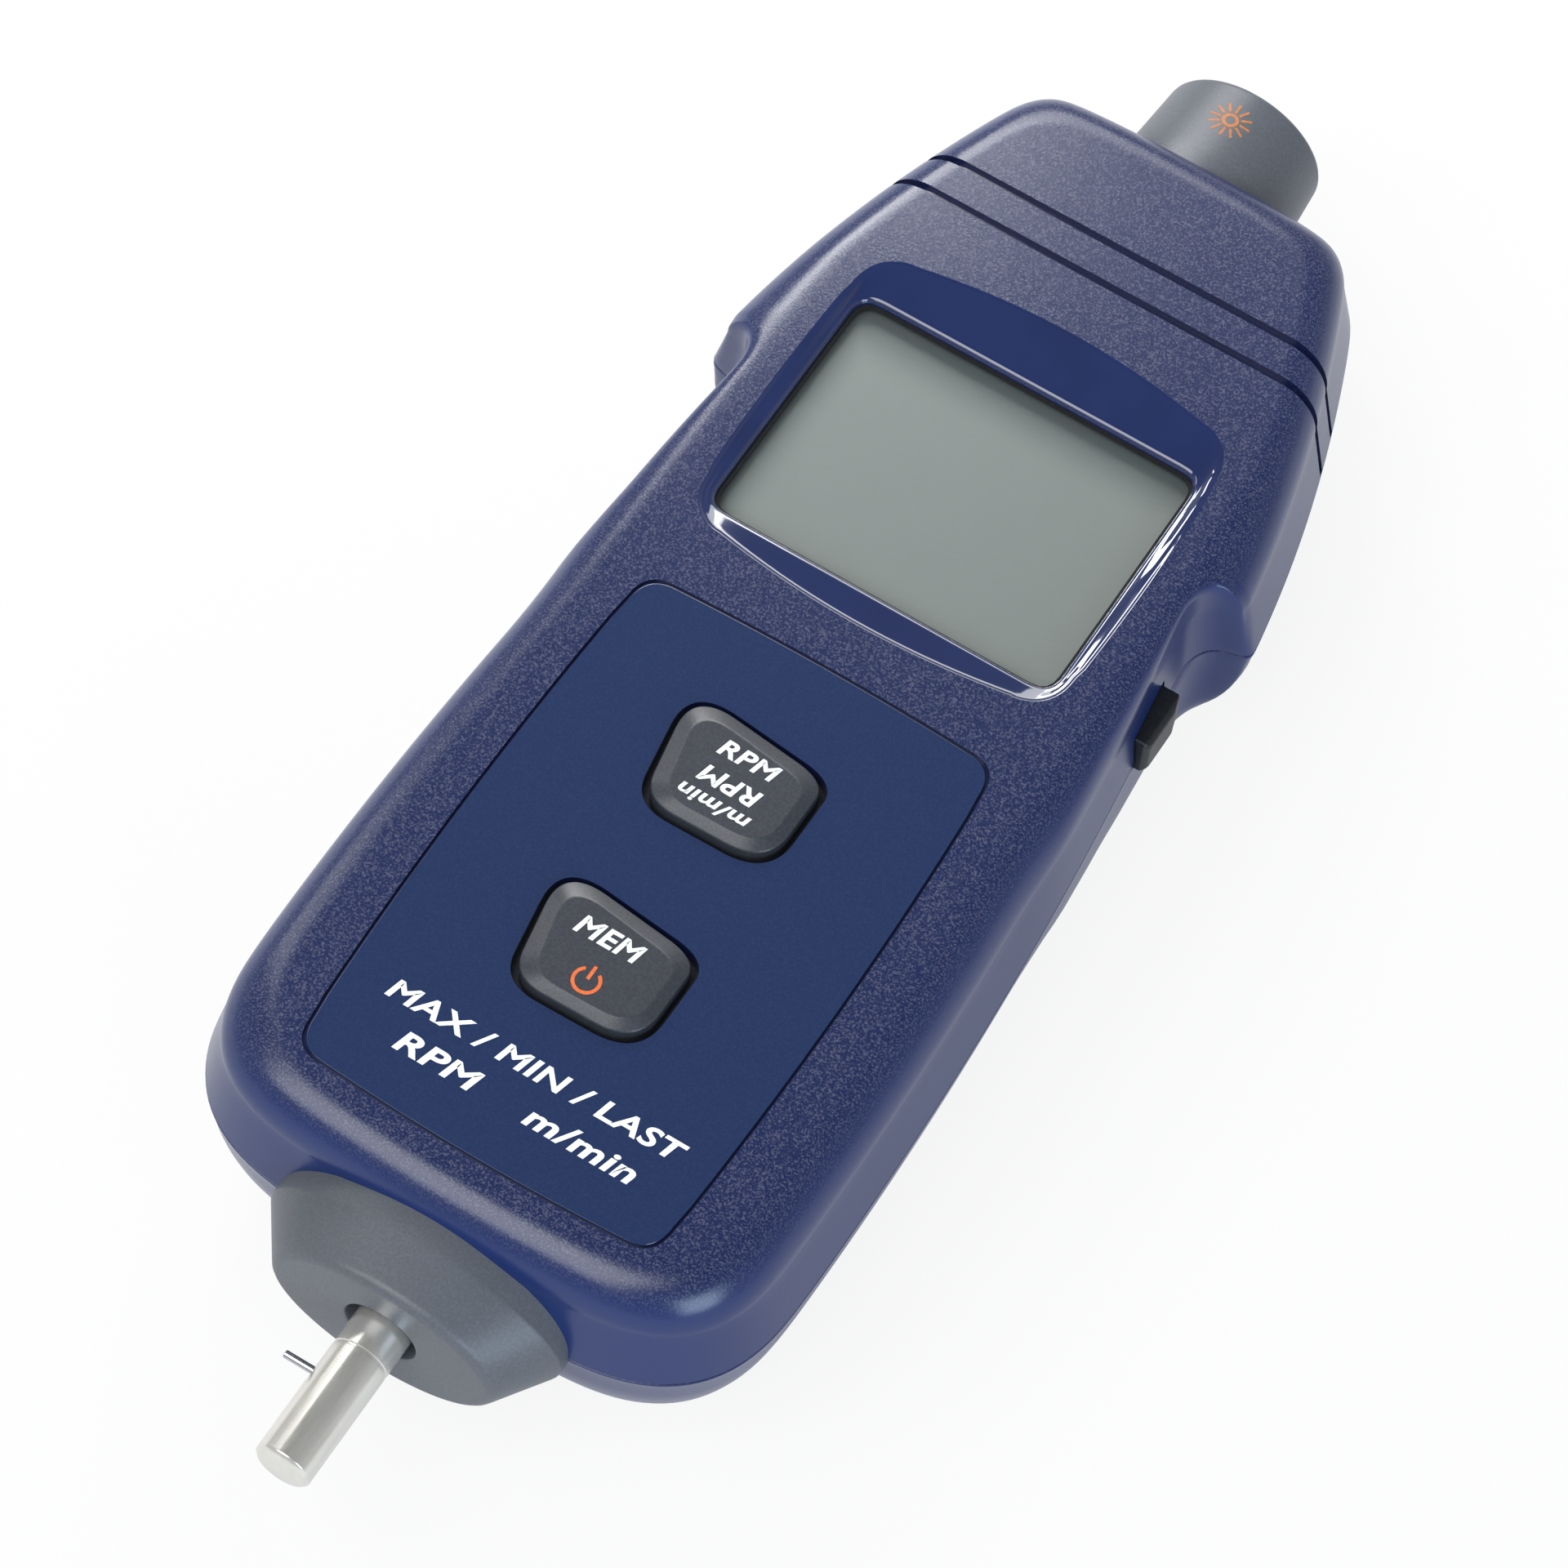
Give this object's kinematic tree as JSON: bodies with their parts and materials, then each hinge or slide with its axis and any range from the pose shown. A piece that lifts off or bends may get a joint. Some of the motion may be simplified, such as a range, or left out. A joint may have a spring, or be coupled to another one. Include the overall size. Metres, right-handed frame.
{
  "type": "handheld tachometer",
  "caption": "Handheld tachometer: tapered navy case with display and keys, a laser nose at one end and a contact shaft with a cross pin at the other.",
  "frame": {"origin": "middle of the box around the part, on its back", "axes": "+Y towards the laser nose, +Z out of the display, +X towards the side button"},
  "size_m": [0.0744, 0.2107, 0.0376],
  "materials": {
    "case_plastic": "fine textured navy ABS",
    "overlay_film": "smooth navy film",
    "key_plastic": "satin charcoal plastic",
    "button_rubber": "smooth black rubber",
    "black_gasket": "black foam gasket",
    "clear_window": "clear acrylic",
    "display_glass": "grey-green liquid crystal display",
    "white_plastic": "white moulded plastic",
    "elastomer": "pink striped elastomer",
    "circuit_board": "green solder mask",
    "chip_black": "black moulded plastic",
    "grey_plastic": "satin dark grey plastic",
    "red_lens": "dark red optical plastic",
    "brass": "turned brass",
    "bearing_steel": "ground bearing steel",
    "nickel_steel": "bright nickel plate",
    "screw_steel": "zinc plated steel",
    "cell_jacket": "printed cell jacket"
  },
  "bodies": {
    "case": {"top_case": "case_plastic", "bottom_case": "case_plastic", "panel_overlay": "overlay_film", "display_gasket": "black_gasket", "display_window": "clear_window", "display_glass": "display_glass", "display_frame": "white_plastic", "contact_strips": "elastomer", "main_board": "circuit_board", "board_parts": "chip_black", "key_switches": "chip_black", "measure_switch": "chip_black", "nose_barrel": "grey_plastic", "nose_lens": "red_lens", "sensor_holder": "chip_black", "laser_module": "brass", "photo_sensor": "chip_black", "sensor_board": "circuit_board", "shaft_collar": "grey_plastic", "bearing_block": "grey_plastic", "bearing_outer_rings": "bearing_steel", "slot_sensor": "chip_black", "encoder_board": "circuit_board", "battery_cells": "cell_jacket", "battery_contacts": "nickel_steel", "case_screws": "screw_steel", "board_screws": "screw_steel"},
    "shaft": {"drive_shaft": "nickel_steel", "drive_pin": "nickel_steel", "shaft_spacer": "brass", "encoder_disc": "chip_black", "retaining_clip": "bearing_steel", "bearing_inner_rings": "bearing_steel"},
    "mode_key": {"mode_key": "key_plastic"},
    "memory_key": {"memory_key": "key_plastic"},
    "measure_button": {"measure_button": "button_rubber"},
    "battery_door": {"battery_door": "case_plastic"}
  },
  "joints": [
    {"name": "shaft_spin", "type": "hinge", "parent": "case", "child": "shaft", "pos_m": [0, -0.08, 0.0214], "axis": [0, 1, 0], "continuous": true},
    {"name": "mode_key_press", "type": "slide", "parent": "case", "child": "mode_key", "axis": [0, 0, -1], "range_m": [0, 0.0006], "stiffness_N_per_m": 1500, "springref_m": -0.0003},
    {"name": "memory_key_press", "type": "slide", "parent": "case", "child": "memory_key", "axis": [0, 0, -1], "range_m": [0, 0.0006], "stiffness_N_per_m": 1500, "springref_m": -0.0003},
    {"name": "measure_button_press", "type": "slide", "parent": "case", "child": "measure_button", "axis": [-1, 0, 0], "range_m": [0, 0.001], "stiffness_N_per_m": 900, "springref_m": -0.0005},
    {"name": "battery_door_slide", "type": "slide", "parent": "case", "child": "battery_door", "axis": [0, -1, 0], "range_m": [0, 0.06]}
  ]
}
